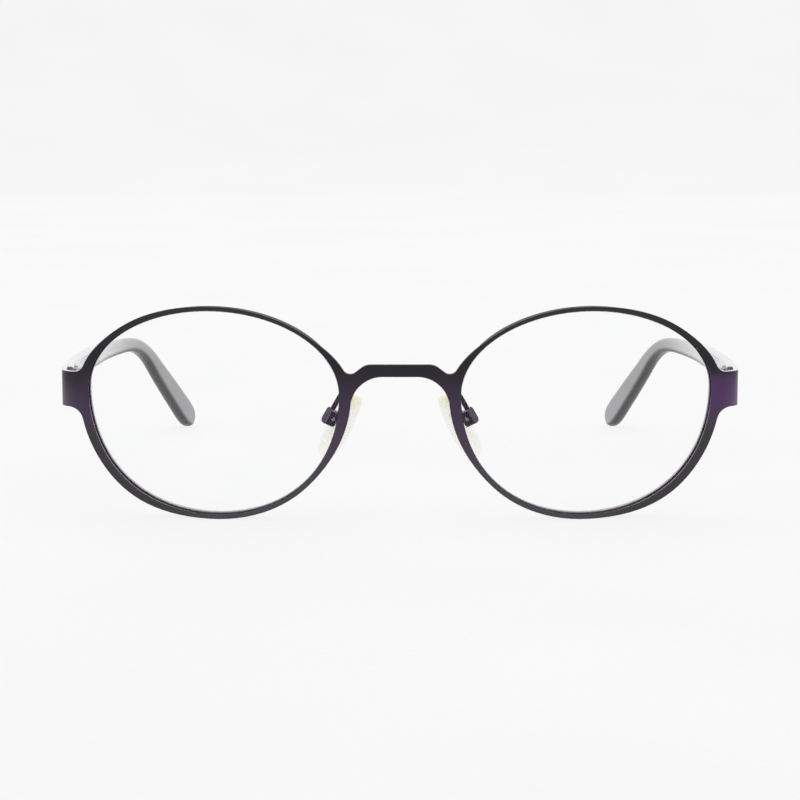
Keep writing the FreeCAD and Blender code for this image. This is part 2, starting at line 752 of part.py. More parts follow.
def temple_plan(depth):
    # Outer face of the temple seen from above: its x and its heading.
    run = depth - temple_start.y
    bow = size("bow_radius")
    curl = size("inward_radius")
    if run < bow_depth:
        heading = math.asin(math.sin(flare) - run / bow)
        return temple_start.x + bow * (math.cos(heading) - math.cos(flare)), heading
    widest = temple_start.x + bow * (1 - math.cos(flare))
    run -= bow_depth + size("temple_straight")
    if run < 0:
        return widest, 0.0
    if run < inward_depth:
        heading = -math.asin(run / curl)
        return widest - curl * (1 - math.cos(heading)), heading
    run -= inward_depth
    return widest - curl * (1 - math.cos(inward)) - run * math.tan(inward), -inward


def temple_side(distance):
    # Middle of the temple seen from the side: depth, level and fall.
    straight = min(distance, size("bend_distance"))
    depth = temple_start.y + straight * math.cos(slope)
    level = arm_level(temple_start.y) - straight * math.sin(slope)
    past = max(0.0, min(distance - size("bend_distance"), ear_length))
    fall = slope + past / size("ear_radius")
    depth += size("ear_radius") * (math.sin(fall) - math.sin(slope))
    level -= size("ear_radius") * (math.cos(slope) - math.cos(fall))
    beyond = max(0.0, distance - size("bend_distance") - ear_length)
    return depth + beyond * math.cos(fall), level - beyond * math.sin(fall), fall


def temple_frame(distance):
    # Middle of a section, its outward direction and its upward direction.
    depth, level, fall = temple_side(distance)
    outer, heading = temple_plan(depth)
    outward = Vector(math.cos(heading), -math.sin(heading), 0)
    middle = Vector(outer, depth, level) - outward * (size("bar_thickness") / 2)
    tilt = max(0.0, fall - slope) / (ear_drop - slope) * ear_drop
    along = Vector(math.sin(heading) * math.cos(tilt), math.cos(heading) * math.cos(tilt),
                   -math.sin(tilt))
    return middle, outward, outward.cross(along)


def rounded_section(distance, width, height, radius):
    middle, outward, upward = temple_frame(distance)
    radius = min(radius, width * FULLEST_CORNER, height * FULLEST_CORNER)
    bulge = radius * (1 - math.sqrt(0.5))
    edges = []
    corners = [(1, 1), (-1, 1), (-1, -1), (1, -1)]
    half_width = width / 2
    half_height = height / 2

    def spot(across, up):
        return middle + outward * across + upward * up

    for number, (side, rise) in enumerate(corners):
        on_side = spot(side * half_width, rise * (half_height - radius))
        on_edge = spot(side * (half_width - radius), rise * half_height)
        elbow = spot(side * (half_width - bulge), rise * (half_height - bulge))
        first, last = (on_side, on_edge) if side * rise > 0 else (on_edge, on_side)
        edges.append(Part.Arc(first, elbow, last).toShape())
        next_side, next_rise = corners[(number + 1) % len(corners)]
        if side * rise > 0:
            target = spot(next_side * (half_width - radius), next_rise * half_height)
        else:
            target = spot(next_side * half_width, next_rise * (half_height - radius))
        edges.append(Part.LineSegment(last, target).toShape())
    return Part.Wire(edges)


def round_section(distance, diameter):
    middle, outward, upward = temple_frame(distance)
    circle = Part.Circle(middle, outward.cross(upward), diameter / 2)
    circle.XAxis = outward
    return Part.Wire(circle.toShape())


def eased(places, distance):
    # Passes smoothly through stated (distance, value) places.
    for (start, before), (end, after) in zip(places, places[1:]):
        if distance <= end:
            share = max(0.0, (distance - start) / (end - start))
            return before + (after - before) * (1 - math.cos(math.pi * share)) / 2
    return places[-1][1]


def stations(start, end, count):
    return [start + (end - start) * step / count for step in range(count + 1)]


def core_loft(label, clearance, start, end):
    wires = [round_section(distance, size("core_diameter") + 2 * clearance)
             for distance in stations(start, end, 14)]
    rod = doc.addObject("Part::Feature", label)
    rod.Shape = Part.makeLoft(wires, True, False)
    return rod


def make_temple_bar():
    length = size("bar_length")
    blade = doc.addObject("Part::Feature", "temple_blade")
    wires = []
    for distance in stations(0.0, length, 6):
        share = distance / length
        height = size("arm_end_height") + (size("bar_end_height") - size("arm_end_height")) * share
        wires.append(rounded_section(distance, size("bar_thickness"), height, size("bar_edge")))
    blade.Shape = Part.makeLoft(wires, True, False)
    core_end = temple_length - size("core_inset")
    core = core_loft("temple_core", 0.0, length - size("core_diameter"), core_end)
    return blade, combine("MultiFuse", "temple_bar_left", [blade, core])


def make_temple_sleeve():
    start = size("bar_length")
    tip = temple_length
    cap = size("tip_closing")
    heights = [(start, size("sleeve_height")), (size("bend_distance"), size("bend_height")),
               (tip - cap, size("paddle_height"))]
    places = stations(start, size("bend_distance"), 5)
    places += stations(size("bend_distance"), tip - cap, 8)[1:]
    sections = [(place, 1.0) for place in places]
    # The tip closes in a quarter of an ellipse.
    for angle in TIP_ANGLES:
        turn = math.radians(angle)
        sections.append((tip - cap + cap * math.sin(turn), math.cos(turn)))
    wires = []
    for place, share in sections:
        height = eased(heights, place) * share
        width = size("sleeve_thickness") * math.sqrt(share)
        wires.append(rounded_section(place, width, height, size("sleeve_edge") * math.sqrt(share)))
    skin = doc.addObject("Part::Feature", "sleeve_skin")
    skin.Shape = Part.makeLoft(wires, True, False)
    margin = size("core_diameter")
    channel = core_loft("sleeve_channel", size("core_clearance"), start - margin,
                        tip - size("core_inset") + size("core_clearance"))
    return cut("temple_sleeve_left", skin, channel)


# Nose pads, drawn about the pad screw with x away from the nose


pad_origin = Vector(size("pad_offset"), size("pad_depth"), size("pad_level"))
pad_turn = Rotation(Vector(0, 1, 0), -size("pad_tilt")).multiply(Rotation(Z_AXIS, -size("pad_splay")))
pad_place = Placement(pad_origin, pad_turn)
pad_back = "-(Sizes.box_depth / 2 + Sizes.pad_gap)"
screw_bore = "Sizes.pad_shank + 2 * Sizes.pad_clearance"


def drill_across(body, label):
    # A bore along y through everything.
    bore = sketch_on(body, label + "_bore", "XZ_Plane")
    draw_circle(bore, ("0", "0"), screw_bore)
    hole = pocketed(body, label + "_drilled", bore, "4 * Sizes.box_width")
    hole.Midplane = True
    return hole


def make_pad_box():
    body = doc.addObject("PartDesign::Body", "pad_box_left")
    mouth = "-Sizes.box_depth / 2"
    outline = sketch_on(body, "box_outline", "YZ_Plane", mouth)
    draw_box(outline, "-Sizes.box_width / 2", "-Sizes.box_height / 2",
             "Sizes.box_width / 2", "Sizes.box_height / 2")
    block = padded(body, "box_block", outline, "Sizes.box_depth")
    doc.recompute()
    corners = ["Edge%d" % number for number, edge in enumerate(block.Shape.Edges, start=1)
               if edge.BoundBox.XLength > size("box_depth") / 2]
    rounded = body.newObject("PartDesign::Fillet", "box_rounded")
    rounded.Base = (block, corners)
    rounded.setExpression("Radius", "Sizes.box_edge")
    body.Tip = rounded
    hollow = sketch_on(body, "box_hollow", "YZ_Plane", mouth)
    half_width = "(Sizes.box_width / 2 - Sizes.box_wall)"
    half_height = "(Sizes.box_height / 2 - Sizes.box_wall)"
    draw_box(hollow, "-" + half_width, "-" + half_height, half_width, half_height)
    emptied = pocketed(body, "box_emptied", hollow, "Sizes.box_depth - Sizes.box_wall")
    emptied.Reversed = True
    drill_across(body, "box")
    body.Placement = pad_place
    return body


def make_pad_insert():
    body = doc.addObject("PartDesign::Body", "pad_insert_left")
    plate = sketch_on(body, "insert_plate", "YZ_Plane",
                      pad_back + " - Sizes.insert_cover - Sizes.insert_thickness")
    draw_box(plate, "-Sizes.insert_width / 2", "-Sizes.pad_drop - Sizes.insert_height / 2",
             "Sizes.insert_width / 2", "-Sizes.pad_drop + Sizes.insert_height / 2")
    padded(body, "insert_plate_pad", plate, "Sizes.insert_thickness")
    boss = sketch_on(body, "insert_boss", "YZ_Plane", pad_back + " - Sizes.insert_cover")
    draw_box(boss, "-Sizes.boss_width / 2", "-Sizes.boss_height / 2",
             "Sizes.boss_width / 2", "Sizes.boss_height / 2")
    padded(body, "insert_boss_pad", boss, "Sizes.insert_cover + Sizes.pad_gap + Sizes.box_depth"
           " - Sizes.box_wall - Sizes.boss_floor_gap")
    drill_across(body, "insert")
    body.Placement = pad_place
    return body


def pad_section(depth, inset):
    # A drop, broader below.
    half_length = size("pad_length") / 2 - inset
    half_width = size("pad_width") / 2 - inset
    points = []
    for step in range(PAD_STEPS):
        turn = 2 * math.pi * step / PAD_STEPS
        breadth = half_width * math.sin(turn) * (1 - size("pad_taper") * math.cos(turn))
        points.append(Vector(depth, breadth, half_length * math.cos(turn) - size("pad_drop")))
    outline = Part.BSplineCurve()
    outline.interpolate(Points=points, PeriodicFlag=True)
    return Part.Wire(outline.toShape())


def make_nose_pad(insert):
    # Both faces are rounded over towards the edge.
    back = -(size("box_depth") / 2 + size("pad_gap"))
    front = back - size("pad_thickness")
    edge = size("pad_edge")
    angles = [math.radians(degrees) for degrees in (0, 30, 60, 90)]
    wires = [pad_section(back - edge * (1 - math.cos(a)), edge * (1 - math.sin(a))) for a in angles]
    wires += [pad_section(front + edge * (1 - math.sin(a)), edge * (1 - math.cos(a))) for a in angles]
    soft = doc.addObject("Part::Feature", "pad_soft")
    soft.Shape = Part.makeLoft(wires, True, False)
    soft.Placement = pad_place
    return soft, cut("nose_pad_left", soft, insert)


def make_pad_screw():
    reach = "Sizes.box_width + 2 * Sizes.pad_clearance"
    screw = slotted_screw("pad_screw_left", "Sizes.pad_head", "Sizes.pad_head_height",
                          "Sizes.pad_shank", reach)
    seat = Placement(Vector(0, size("box_width") / 2, 0), Rotation(X_AXIS, -90))
    screw.Placement = pad_place.multiply(seat)
    return screw


def make_pad_arm(ring):
    # Leaves the back of the rim wire, flush with its inside, then drops onto the pad box.
    middle = size("wire_diameter") / 2 - size("eyewire_lip") - size("lens_lap")
    across, up = oval_offset(math.pi, middle)
    root_depth = (front_depth(across) + size("sheet_thickness") + size("eyewire_depth")
                  - size("wire_seat"))
    root = wall_point(across, up, root_depth)
    foot = pad_place.multVec(Vector(size("wire_offset"), 0, size("box_height") / 2))
    climb = pad_turn.multVec(Z_AXIS)
    elbow = foot + climb * size("wire_rise")
    leaving = (elbow - root).normalize()
    turn = leaving.getAngle(climb * -1)
    trim = size("wire_bend") * math.tan(turn / 2)
    bend_start = elbow - leaving * trim
    bend_end = elbow - climb * trim
    inside = (climb * -1 - leaving).normalize()
    centre = elbow + inside * (size("wire_bend") / math.cos(turn / 2))
    bend_middle = centre - inside * size("wire_bend")
    path = Part.Wire([
        Part.LineSegment(root, bend_start).toShape(),
        Part.Arc(bend_start, bend_middle, bend_end).toShape(),
        Part.LineSegment(bend_end, foot).toShape(),
    ])
    route = doc.addObject("Part::Feature", "pad_arm_route")
    route.Shape = path
    section = doc.addObject("Part::Circle", "pad_arm_section")
    section.setExpression("Radius", "Sizes.wire_diameter / 2")
    section.Placement = Placement(root, Rotation(Z_AXIS, leaving))
    wire = doc.addObject("Part::Sweep", "pad_arm_wire")
    wire.Sections = [section]
    wire.Spine = (route, ["Edge1", "Edge2", "Edge3"])
    wire.Solid = True
    wire.Frenet = False
    return cut("pad_arm_left", wire, ring)


# Assembly


SURFACE_STEP = 0.02
STEEPEST_LEAN = 30
front_plate = make_front()
eyewire_ring, eyewire = make_eyewire()
lens = make_lens()
before_sheet = extruded("before_sheet", seat_outline(), Z_AXIS,
                        (-size("lens_height"), size("lens_height")))
seat = combine("MultiFuse", "closing_seat", [before_sheet, doc.getObject("eyewire_ring_outside")])
upper_block = make_closing_block("closing_block_upper_left", "Sizes.eyewire_slit / 2", seat)
lower_block = make_closing_block("closing_block_lower_left",
                                 "-Sizes.eyewire_slit / 2 - Sizes.block_height", seat)
closing_screw = make_closing_screw()
front_leaf = make_front_leaf()
blade, temple_bar = make_temple_bar()
temple_leaf = make_temple_leaf(blade)
hinge_screw = make_hinge_screw()
temple_sleeve = make_temple_sleeve()
pad_box = make_pad_box()
pad_insert = make_pad_insert()
pad_form, nose_pad = make_nose_pad(pad_insert)
pad_screw = make_pad_screw()
pad_arm = make_pad_arm(eyewire_ring)
doc.recompute()


def surface_points(shape):
    return shape.tessellate(SURFACE_STEP)[0]


def lowest_tenth(points):
    levels = [point.z for point in points]
    limit = min(levels) + (max(levels) - min(levels)) / 10
    return [point for point in points if point.z < limit]


def lowest(points, angle):
    return min(point.y * math.sin(angle) + point.z * math.cos(angle) for point in points)


def standing_place():
    # Leans the pair until the rims and the temple tips both touch z = 0, and
    # centres it from front to back.
    front = lowest_tenth(surface_points(front_plate.Shape))
    front += lowest_tenth(surface_points(eyewire.Shape))
    sleeve = surface_points(temple_sleeve.Shape)
    tips = lowest_tenth(sleeve)
    low, high = 0.0, math.radians(STEEPEST_LEAN)
    for _ in range(40):
        angle = (low + high) / 2
        if lowest(front, angle) < lowest(tips, angle):
            high = angle
        else:
            low = angle
    lean = Rotation(X_AXIS, math.degrees(angle))
    forward = lean.multVec(Vector(0, 0, size("bridge_top"))).y
    backward = max(lean.multVec(point).y for point in sleeve)
    return Placement(Vector(0, -(forward + backward) / 2, -lowest(front, angle)), lean)


stand = standing_place()
left_parts = [eyewire, lens, upper_block, lower_block, closing_screw, front_leaf, temple_leaf,
              hinge_screw, temple_bar, temple_sleeve, pad_box, pad_insert, nose_pad, pad_screw,
              pad_arm]
carried = [part for part in left_parts if part is not nose_pad] + [front_plate, pad_form]
for part in carried:
    part.Placement = stand.multiply(part.Placement)
right_parts = [mirrored(part.Label.replace("_left", "_right"), part) for part in left_parts]
doc.recompute()

sub_parts = [front_plate] + left_parts + right_parts
for item in doc.Objects:
    if "Invalid" in item.State or "Error" in item.State:
        raise RuntimeError("%s could not be built" % item.Label)
for part in sub_parts:
    if part.Shape.isNull() or not part.Shape.isValid():
        raise RuntimeError("%s has no valid shape" % part.Label)
    if len(part.Shape.Solids) != 1:
        raise RuntimeError("%s is not one solid" % part.Label)

os.makedirs("parts", exist_ok=True)
for part in sub_parts:
    part.Shape.exportStep("parts/%s.step" % part.Label)
print("lean %.2f degrees, temple %.1f long" % (math.degrees(stand.Rotation.Angle), temple_length))
print("%d sub-parts written" % len(sub_parts))
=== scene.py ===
import math

import bpy
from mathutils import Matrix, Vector

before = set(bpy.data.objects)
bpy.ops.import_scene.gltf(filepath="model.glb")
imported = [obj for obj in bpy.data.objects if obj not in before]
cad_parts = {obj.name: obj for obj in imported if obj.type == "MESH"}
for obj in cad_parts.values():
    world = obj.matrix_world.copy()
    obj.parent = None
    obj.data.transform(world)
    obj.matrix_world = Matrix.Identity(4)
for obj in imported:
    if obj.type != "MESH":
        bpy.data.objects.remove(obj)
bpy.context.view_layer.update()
scene = bpy.context.scene
mm = 0.001
print("frame loaded:", len(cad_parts), "nodes")


# Shader building: a signal is a socket that can stand in sums

class Signal:
    def __init__(self, paint, socket):
        self.paint = paint
        self.socket = socket

    def sum(self, operation, first, second=0.0):
        return self.paint.node("Math", {"operation": operation}, {0: first, 1: second})

    def __add__(self, other):
        return self.sum("ADD", self, other)

    def __sub__(self, other):
        return self.sum("SUBTRACT", self, other)

    def __rsub__(self, other):
        return self.sum("SUBTRACT", other, self)

    def __mul__(self, other):
        return self.sum("MULTIPLY", self, other)

    def __truediv__(self, other):
        return self.sum("DIVIDE", self, other)

    def __pow__(self, other):
        return self.sum("POWER", self, other)

    def __abs__(self):
        return self.sum("ABSOLUTE", self)

    __radd__ = __add__
    __rmul__ = __mul__


class Paint:
    def __init__(self, name, fixed):
        self.material = bpy.data.materials.new(name)
        self.material.use_nodes = True
        self.tree = self.material.node_tree
        self.surface = self.tree.nodes["Principled BSDF"]
        for socket, value in fixed.items():
            self.feed(self.surface.inputs[socket], value)

    def feed(self, socket, value):
        if isinstance(value, Signal):
            self.tree.links.new(value.socket, socket)
        else:
            socket.default_value = value

    def node(self, kind, settings=None, sockets=None, out=0):
        made = self.tree.nodes.new("ShaderNode" + kind)
        for name, value in (settings or {}).items():
            if name == "stops":
                self.fillRamp(made.color_ramp, value)
            else:
                setattr(made, name, value)
        for key, value in (sockets or {}).items():
            self.feed(made.inputs[key], value)
        return Signal(self, made.outputs[out])

    def fillRamp(self, ramp, stops):
        while len(ramp.elements) < len(stops):
            ramp.elements.new(1.0)
        for element, (place, colour) in zip(ramp.elements, stops):
            element.position = place
            element.color = (*colour, 1.0)

    def shows(self, **signals):
        for name, value in signals.items():
            socket = "".join(" " + c if c.isupper() else c for c in name).strip()
            self.feed(self.surface.inputs[socket], value)
        return self.material

    def millimetres(self, stretch=(1, 1, 1)):
        # the piece's own coordinates, so a finish moves with its body
        where = self.node("TexCoord", out="Object")
        scale = [1 / mm * part for part in stretch]
        return self.node("VectorMath", {"operation": "MULTIPLY"}, {0: where, 1: scale})

    def along(self, where, axis):
        return self.node("SeparateXYZ", {}, {0: where}, out="XYZ".index(axis))

    def noise(self, where, scale, detail=3.0, rough=0.55):
        return self.node("TexNoise", {}, {"Vector": where, "Scale": scale, "Detail": detail,
                                          "Roughness": rough})

    def between(self, signal, low, high, atLow=0.0, atHigh=1.0):
        return self.node("MapRange", {"interpolation_type": "SMOOTHSTEP"},
                         {"Value": signal, "From Min": low, "From Max": high,
                          "To Min": atLow, "To Max": atHigh})

    def mix(self, share, first, second):
        # colours: the Mix node's colour sockets are its 6th and 7th
        return self.node("Mix", {"data_type": "RGBA"}, {0: share, 6: first, 7: second}, out=2)

    def upward(self, low, high):
        # 0 to 1 as the surface turns from one slope to the other, 1.0 being straight up
        return self.between(self.along(self.node("NewGeometry", out="Normal"), "Z"), low, high)

    def facing(self, axis):
        # how squarely the surface faces along an axis, 0 to 1
        normal = self.node("NewGeometry", out="Normal")
        return abs(self.along(normal, axis))

    def edges(self, radius):
        # 1 near a sharp edge, 0 elsewhere
        soft = self.node("Bevel", {"samples": 6}, {"Radius": radius * mm})
        sharp = self.node("NewGeometry", out="Normal")
        same = self.node("VectorMath", {"operation": "DOT_PRODUCT"}, {0: soft, 1: sharp}, out=1)
        return self.between(1 - same, 0.01, 0.2)

    def relief(self, height, depth, rounding=0.0):
        # bump over a surface whose edges are slightly rounded
        sockets = {"Height": height, "Distance": depth * mm, "Strength": 1.0}
        if rounding:
            sockets["Normal"] = self.node("Bevel", {"samples": 6}, {"Radius": rounding * mm})
        return self.node("Bump", {}, sockets)


def colour(red, green, blue):
    return (red, green, blue, 1.0)


def dress(material, *names):
    for name in names:
        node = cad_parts[name]
        node.data.materials.clear()
        node.data.materials.append(material)


def pair(*names):
    return [name + side for name in names for side in ("_left", "_right")]


# Front sheet and rim wire: satin lacquer, near black above, purple below

lacquer = {
    "fade": [
        (0.00, (0.068, 0.060, 0.070)),
        (0.28, (0.067, 0.053, 0.073)),
        (0.52, (0.058, 0.035, 0.072)),
        (0.66, (0.026, 0.021, 0.029)),
        (0.74, (0.018, 0.016, 0.020)),
        (0.95, (0.028, 0.028, 0.029)),
    ],
    "fadeHeight": 41.0,    # mm from the table to the top of the rims
    "cloudScale": 0.16,
    "cloudShift": 0.12,    # how far the clouds move the fade
    "plum": colour(0.080, 0.036, 0.112),
    "plumLevel": (0.44, 0.53, 0.62, 0.69),
    "plumSide": (20.0, 60.0),
    "plumShare": 0.8,
    # colour of worn edges, also painted on the cut walls as a highlight
    "edgeWearAndSheen": colour(0.30, 0.26, 0.32),
    # painted highlight on the upper cut edge of the side bends and arms
    "upperEdgeHighlight": colour(0.80, 0.78, 0.81),
    "upperHighlightReach": (58.5, 60.0),
    "upperHighlightShare": 0.9,
    "smoke": colour(0.042, 0.039, 0.043),
    "smokeReach": (36.0, 46.0),
    "smokeLevel": (0.47, 0.37),
    "smokeShare": 0.85,
    # painted sheen at the side bends, where they reflect the bright surroundings
    "bendPaintedSheen": colour(0.130, 0.112, 0.140),
    "bendReach": (61.5, 65.0),
    "bendLevel": (0.68, 0.55),
    "bendShare": 0.35,
    "wear": 0.45,
    "wearMetal": 0.1,
    "speckleScale": 0.8,
    "mattWalls": 0.3,
    "peel": 0.003,         # mm, height of the orange peel
    "peelScale": 1.1,
    "roughness": (0.30, 0.42),
    "metallic": 0.85,
    "edgeRounding": 0.12,
}


# Walls round the openings: painted lit and pale, with a painted highlight line near the front,
# apart from painted shade in a groove low on the temple side

opening = {
    "centre": (35.6, 24.4),    # mm, middle of each opening
    "frontRadius": 250.0,
    "bridgeDepth": -70.7,
    "lean": 0.037,             # radians, of the front
    "midHeight": 20.4,
    # lit and its line are painted light; shade is painted shade for the groove
    "lit": colour(0.30, 0.27, 0.31),
    "line": colour(0.42, 0.39, 0.43),
    "shade": colour(0.014, 0.012, 0.017),
    "cornerAcross": (38.0, 50.0),
    "cornerLevel": (25.0, 18.0),
    "grooveFront": (0.7, 0.85),    # mm behind the front's face
    "grooveBack": (2.3, 2.0),
    "lineHighlightDepth": (0.75, 0.9),
}


def openingWall(paint, where, dark, glow):
    normal = paint.node("NewGeometry", out="Normal")
    across = paint.along(where, "X")
    level = paint.along(where, "Z")
    side = across / abs(across)
    outward = (paint.along(normal, "X") * side * (abs(across) - opening["centre"][0])
               + paint.along(normal, "Z") * (level - opening["centre"][1]))
    inside = paint.between(outward, -2.0, -8.0)
    back = (paint.along(where, "Y") - opening["bridgeDepth"]
            + (level - opening["midHeight"]) * opening["lean"])
    reach = opening["frontRadius"] - back
    depth = opening["frontRadius"] - (across * across + reach * reach) ** 0.5
    corner = (paint.between(abs(across), *opening["cornerAcross"])
              * paint.between(level, *opening["cornerLevel"]))
    # painted shade in the groove, and a painted highlight line near the front edge of the walls
    grooveShade = (corner * paint.between(depth, *opening["grooveBack"])
              * paint.between(depth, *opening["grooveFront"]))
    lit = paint.mix(paint.between(depth, *opening["lineHighlightDepth"]), opening["line"], opening["lit"])
    wall = paint.mix(grooveShade, lit, opening["shade"])
    return paint.mix(inside * (corner + (1 - corner) * glow), dark, wall)


def lacquered(name, wallSheenShare=0.0, wallGlow=1.0):
    paint = Paint(name, {"IOR": 1.5, "Coat Weight": 0.12, "Coat Roughness": 0.12})
    where = paint.millimetres()
    level = paint.along(where, "Z") / lacquer["fadeHeight"]
    across = paint.along(where, "X")
    aside = abs(across)
    cloud = paint.noise(where, lacquer["cloudScale"], 2.0)
    level = level + (cloud - 0.5) * lacquer["cloudShift"]
    fade = paint.node("ValToRGB", {"stops": lacquer["fade"]}, {0: level})
    # one side bend is a richer plum than the other
    start, full, fading, end = lacquer["plumLevel"]
    band = paint.between(level, start, full) * paint.between(level, end, fading)
    side = paint.between(across, *lacquer["plumSide"])
    fade = paint.mix(band * side * lacquer["plumShare"], fade, lacquer["plum"])
    # lower down, the rims between the bottom and the side bends are smoky grey
    smoky = (paint.between(aside, *lacquer["smokeReach"])
             * paint.between(level, *lacquer["smokeLevel"]))
    fade = paint.mix(smoky * lacquer["smokeShare"], fade, lacquer["smoke"])
    # painted sheen: paler where the sheet turns back into the arm, standing in for the bright
    # surroundings reflected at the bend
    turned = (paint.between(aside, *lacquer["bendReach"])
              * paint.between(level, *lacquer["bendLevel"]))
    fade = paint.mix(turned * lacquer["bendShare"], fade, lacquer["bendPaintedSheen"])
    fade = openingWall(paint, where, fade, wallGlow)
    grain = paint.noise(where, lacquer["peelScale"], 4.0)
    worn = paint.edges(lacquer["edgeRounding"] * 1.6)
    speckle = paint.between(paint.noise(where, lacquer["speckleScale"], 3.0), 0.35, 0.75)
    tone = paint.mix(worn * speckle * lacquer["wear"], fade, lacquer["edgeWearAndSheen"])
    # painted highlight: the cut walls are painted a little paler, as light catches them
    if wallSheenShare:
        wall = paint.between(paint.facing("Y"), 0.75, 0.35)
        tone = paint.mix(wall * wallSheenShare, tone, lacquer["edgeWearAndSheen"])
        # painted highlight: the upper cut edge of the side bends and arms is painted near white,
        # where light from above catches it
        upward = paint.upward(0.7, 0.9)
        outside = paint.between(aside, *lacquer["upperHighlightReach"])
        tone = paint.mix(upward * outside * lacquer["upperHighlightShare"], tone, lacquer["upperEdgeHighlight"])
    # the cut walls are left matt
    matt = paint.between(paint.facing("Y"), 0.6, 0.3) * lacquer["mattWalls"]
    low, high = lacquer["roughness"]
    return paint.shows(
        BaseColor=tone,
        Roughness=paint.between(grain, 0.25, 0.75, low, high) + matt,
        Metallic=lacquer["metallic"] - worn * speckle * lacquer["wearMetal"],
        Normal=paint.relief(grain, lacquer["peel"], lacquer["edgeRounding"]),
    )


dress(lacquered("frontLacquer", 0.12, 0.0), "front_plate")
dress(lacquered("rimLacquer"), *pair("eyewire"))
print("front dressed")


# Lenses: clear, with a faint trace of handling

lens = {
    "tint": colour(0.985, 0.995, 0.99),
    "ior": 1.498,
    "gloss": 0.12,    # an anti-glare coating keeps the reflections weak
    "glossTint": colour(0.25, 0.25, 0.25),
    "haze": (0.0, 0.012),
    "smearScale": 0.09,
}


def lensGlass():
    paint = Paint("lensClear", {"Transmission Weight": 1.0, "IOR": lens["ior"],
                                "Specular IOR Level": lens["gloss"],
                                "Specular Tint": lens["glossTint"]})
    where = paint.millimetres()
    smear = paint.noise(where, lens["smearScale"], 3.0)
    low, high = lens["haze"]
    shade = paint.mix(paint.between(smear, 0.3, 0.8), colour(1, 1, 1), lens["tint"])
    return paint.shows(BaseColor=shade, Roughness=paint.between(smear, 0.5, 0.8, low, high))


dress(lensGlass(), *pair("lens"))
print("lenses dressed")


# Temples: lacquered metal bar and moulded plastic sleeve

sleeve = {
    "deep": colour(0.255, 0.245, 0.255),
    "pale": colour(0.290, 0.280, 0.291),
    # painted shade on the downward-facing side
    "under": colour(0.034, 0.032, 0.035),
    "underSlope": (0.0, -0.55),
    # painted reflection: paler near the hinge, where the sleeve is seen at a grazing angle
    "worn": colour(0.74, 0.73, 0.74),
    "sheenReach": (-8.0, 48.0),    # mm, from the sleeve's front end to the ear bend
    "cloudScale": 0.08,
    "roughness": (0.2, 0.28),
    "streakStretch": (4, 0.25, 4),
    "streakScale": 0.8,
    "scratchDepth": 0.0005,
    "ior": 1.46,
    "coat": 0.15,
    "coatRoughness": 0.1,
}


def sleevePlastic():
    paint = Paint("sleevePlastic", {"IOR": sleeve["ior"], "Coat Weight": sleeve["coat"],
                                    "Coat Roughness": sleeve["coatRoughness"]})
    where = paint.millimetres()
    cloud = paint.between(paint.noise(where, sleeve["cloudScale"], 4.0), 0.3, 0.7)
    streak = paint.noise(paint.millimetres(sleeve["streakStretch"]), sleeve["streakScale"], 4.0)
    low, high = sleeve["roughness"]
    tone = paint.mix(cloud, sleeve["deep"], sleeve["pale"])
    # painted reflection: paler towards the hinge, where the sleeve is seen at a grazing angle;
    # painted shade where it faces down
    front, bend = sleeve["sheenReach"]
    tone = paint.mix(paint.between(paint.along(where, "Y"), bend, front), tone, sleeve["worn"])
    downward = paint.upward(*sleeve["underSlope"])
    return paint.shows(
        BaseColor=paint.mix(downward, tone, sleeve["under"]),
        Roughness=paint.between(streak, 0.3, 0.7, low, high),
        Normal=paint.relief(streak, sleeve["scratchDepth"]),
    )


bar = {
    "deep": colour(0.82, 0.81, 0.82),
    "pale": colour(0.88, 0.87, 0.88),
    "cloudScale": 0.2,
    "brushStretch": (2, 0.1, 2),
    "brushScale": 0.6,
    "brushDepth": 0.0002,
    "roughness": (0.26, 0.34),
    "coat": 0.3,
    "coatRoughness": 0.1,
}


def barMetal():
    paint = Paint("barMetal", {"IOR": 1.5, "Coat Weight": bar["coat"],
                               "Coat Roughness": bar["coatRoughness"]})
    where = paint.millimetres()
    brushed = paint.noise(paint.millimetres(bar["brushStretch"]), bar["brushScale"], 2.0)
    cloud = paint.between(paint.noise(where, bar["cloudScale"], 2.0), 0.3, 0.7)
    low, high = bar["roughness"]
    return paint.shows(
        BaseColor=paint.mix(cloud, bar["deep"], bar["pale"]),
        Roughness=paint.between(brushed, 0.3, 0.7, low, high),
        Metallic=1.0,
        Normal=paint.relief(brushed, bar["brushDepth"]),
    )


dress(sleevePlastic(), *pair("temple_sleeve"))
dress(barMetal(), *pair("temple_bar"))
print("temples dressed")


# Fittings: plated blocks, hinge leaves, pad boxes and arms, turned screws

plating = {
    "cloudScale": 0.9,
    "grainScale": 3.0,
    "grainDepth": 0.0006,
    "roughnessSpread": 0.12,
    "glintSlope": (0.35, 0.85),
    "wear": 0.5,
    "glintWear": 0.06,    # dark plating rubs through less
}


def plated(name, deep, pale, roughness, rounding, rubbedAndGlint=colour(0.62, 0.58, 0.66), glint=0.0):
    paint = Paint(name, {"IOR": 1.5})
    where = paint.millimetres()
    cloud = paint.between(paint.noise(where, plating["cloudScale"], 3.0), 0.3, 0.7)
    worn = paint.edges(rounding * 1.5)
    grain = paint.noise(where, plating["grainScale"], 3.0)
    wear = plating["glintWear"] if glint else plating["wear"]
    tone = paint.mix(cloud, deep, pale)
    if glint:
        # painted highlight: faces turned up are painted the plating's colour, as light from above
        # picks it out
        tone = paint.mix(paint.upward(*plating["glintSlope"]) * glint, tone, rubbedAndGlint)
    return paint.shows(
        BaseColor=paint.mix(worn * wear, tone, rubbedAndGlint),
        Roughness=paint.between(grain, 0.3, 0.7, roughness, roughness + plating["roughnessSpread"]),
        Metallic=1.0,
        Normal=paint.relief(grain, plating["grainDepth"], rounding),
    )


fittingMetal = plated("fittingMetal", colour(0.10, 0.09, 0.11), colour(0.16, 0.15, 0.17), 0.22, 0.1)
